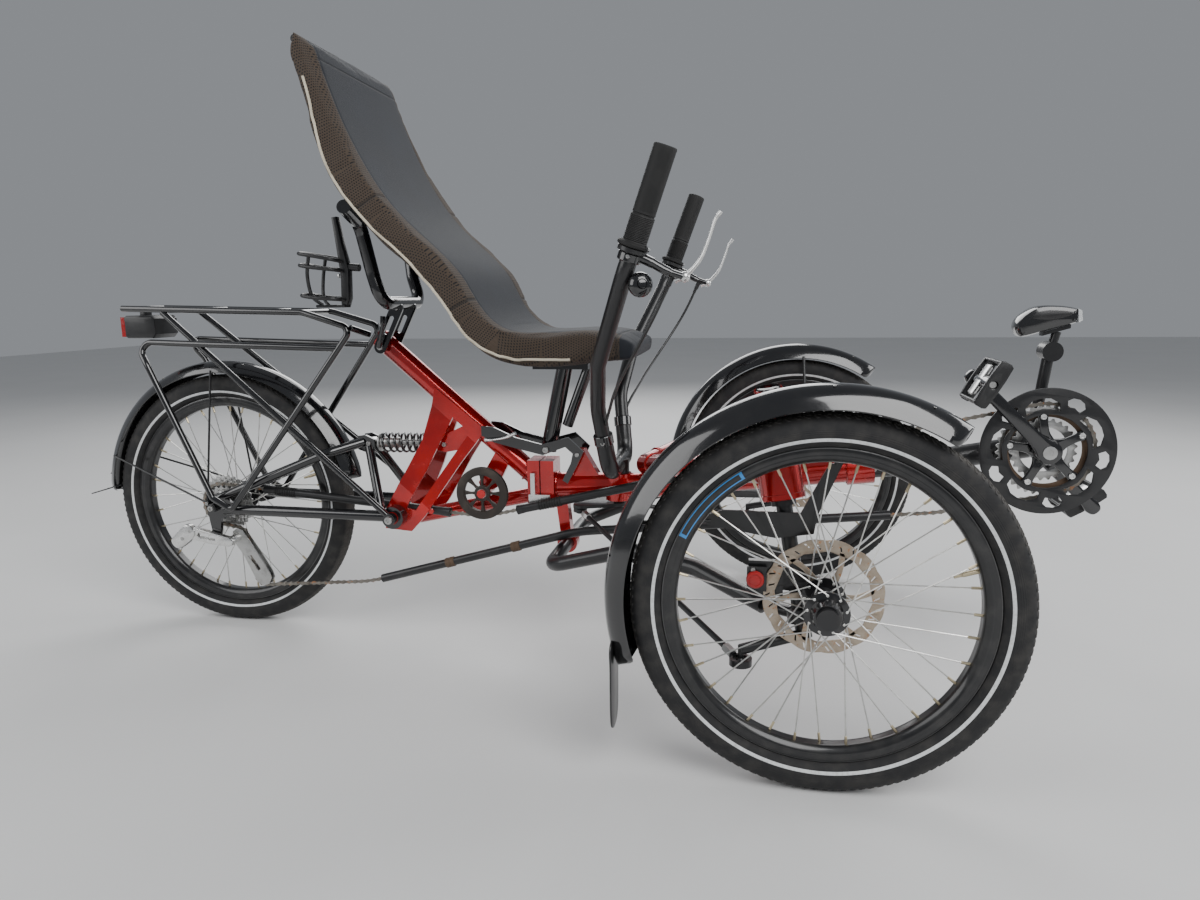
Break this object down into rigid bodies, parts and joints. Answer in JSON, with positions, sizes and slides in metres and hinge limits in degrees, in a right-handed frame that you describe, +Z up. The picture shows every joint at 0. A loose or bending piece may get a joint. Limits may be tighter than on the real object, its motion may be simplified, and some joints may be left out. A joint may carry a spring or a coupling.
{
  "type": "recumbent trike",
  "caption": "Low three-wheeled recumbent cycle with two steered front wheels, a driven rear wheel, reclined mesh seat, mudguards and a rear rack.",
  "frame": {"origin": "on the ground under the middle of the trike", "axes": "+X forward, +Y to the rider's left, +Z up"},
  "size_m": [1.9813, 0.969, 1.081],
  "materials": {
    "candy_red": "candy red gloss lacquer",
    "black_gloss": "gloss black lacquer",
    "black_matte": "satin black coating",
    "tyre": "black tyre rubber with fine tread",
    "rim_black": "black anodised",
    "spoke_steel": "polished steel",
    "hub_metal": "dark anodised",
    "rotor_steel": "steel with a rust-brown tint",
    "steel": "brushed",
    "chain_steel": "oiled, brownish",
    "idler_plastic": "matte brown",
    "silver": "silver anodised",
    "black_plastic": "matte",
    "rubber": "matte rubber",
    "seat_fabric": "brown-black spacer mesh with a dark blue middle panel",
    "red_lens": "gloss red",
    "clear_lens": "clear"
  },
  "bodies": {
    "frame": {"rear_frame": "candy_red", "front_frame": "candy_red", "frame_hinge": "silver", "boom": "black_matte", "swing_arm": "black_gloss", "shock": "steel", "rack": "black_gloss", "rear_lamp": "black_plastic", "rear_lens": "red_lens", "rear_fender": "black_gloss", "rear_fender_stays": "black_matte", "seat_rails": "black_matte", "seat_cover": "seat_fabric", "seat_stay": "black_gloss", "seat_mount": "black_gloss", "bottle_cage": "black_plastic", "idler": "idler_plastic", "chain": "chain_steel", "chain_tubes": "black_plastic", "rear_derailleur": "silver", "stabiliser": "black_matte", "lamp_bracket": "black_matte", "lamp": "black_plastic", "lamp_lens": "clear_lens"},
    "rear_wheel": {"rear_tyre": "tyre", "rear_rim": "rim_black", "rear_spokes": "spoke_steel", "rear_hub": "hub_metal", "rear_cassette": "steel"},
    "handlebar": {"handlebar": "black_matte", "grips": "rubber", "controls": "silver"},
    "crankset": {"crankset": "black_gloss", "chainrings": "black_matte"},
    "right_wheel": {"right_tyre": "tyre", "right_rim": "rim_black", "right_spokes": "spoke_steel", "right_hub": "hub_metal", "right_rotor": "rotor_steel"},
    "right_knuckle": {"right_knuckle": "black_matte", "right_caliper": "black_matte", "right_fender": "black_gloss", "right_fender_bracket": "black_matte"},
    "right_tie_rod": {"right_tie_rod": "black_matte"},
    "right_pedal": {"right_pedal": "black_plastic"},
    "left_wheel": {"left_tyre": "tyre", "left_rim": "rim_black", "left_spokes": "spoke_steel", "left_hub": "hub_metal", "left_rotor": "rotor_steel"},
    "left_knuckle": {"left_knuckle": "black_matte", "left_caliper": "black_matte", "left_fender": "black_gloss", "left_fender_bracket": "black_matte"},
    "left_tie_rod": {"left_tie_rod": "black_matte"},
    "left_pedal": {"left_pedal": "black_plastic"}
  },
  "joints": [
    {"name": "rear_wheel_roll", "type": "hinge", "parent": "frame", "child": "rear_wheel", "pos_m": [-0.6646, 0, 0.253], "axis": [0, 1, 0], "continuous": true},
    {"name": "steering", "type": "hinge", "parent": "frame", "child": "handlebar", "pos_m": [0.1224, 0, 0.345], "axis": [0, 0, 1], "range_deg": [-30, 30]},
    {"name": "crank_turn", "type": "hinge", "parent": "frame", "child": "crankset", "pos_m": [0.8314, 0, 0.395], "axis": [0, 1, 0], "continuous": true},
    {"name": "right_pedal_turn", "type": "hinge", "parent": "crankset", "child": "right_pedal", "pos_m": [0.71015, -0.14, 0.51415], "axis": [0, 1, 0], "continuous": true},
    {"name": "left_pedal_turn", "type": "hinge", "parent": "crankset", "child": "left_pedal", "pos_m": [0.95265, 0.14, 0.27585], "axis": [0, 1, 0], "continuous": true},
    {"name": "right_knuckle_turn", "type": "hinge", "parent": "frame", "child": "right_knuckle", "pos_m": [0.4014, -0.345, 0.41], "axis": [-0.1706, 0.1658, 0.9713], "range_deg": [-29.7, 29.7]},
    {"name": "right_rod_turn", "type": "hinge", "parent": "handlebar", "child": "right_tie_rod", "pos_m": [0.0554, -0.03, 0.263], "axis": [0.0476, -0.0053, 0.9989], "range_deg": [-31.5, 31.5]},
    {"name": "right_wheel_roll", "type": "hinge", "parent": "right_knuckle", "child": "right_wheel", "pos_m": [0.4614, -0.4335, 0.253], "axis": [0, 1, 0], "continuous": true},
    {"name": "left_knuckle_turn", "type": "hinge", "parent": "frame", "child": "left_knuckle", "pos_m": [0.4014, 0.345, 0.41], "axis": [-0.1706, -0.1658, 0.9713], "range_deg": [-29.7, 29.7]},
    {"name": "left_rod_turn", "type": "hinge", "parent": "handlebar", "child": "left_tie_rod", "pos_m": [0.0554, 0.03, 0.263], "axis": [0.0476, 0.0053, 0.9989], "range_deg": [-31.5, 31.5]},
    {"name": "left_wheel_roll", "type": "hinge", "parent": "left_knuckle", "child": "left_wheel", "pos_m": [0.4614, 0.4335, 0.253], "axis": [0, 1, 0], "continuous": true}
  ],
  "couplings": [
    {"joint": "right_knuckle_turn", "follows": "steering", "ratio": 0.9883},
    {"joint": "right_rod_turn", "follows": "steering", "ratio": -1.0483},
    {"joint": "left_knuckle_turn", "follows": "steering", "ratio": 0.9883},
    {"joint": "left_rod_turn", "follows": "steering", "ratio": -1.0483}
  ]
}
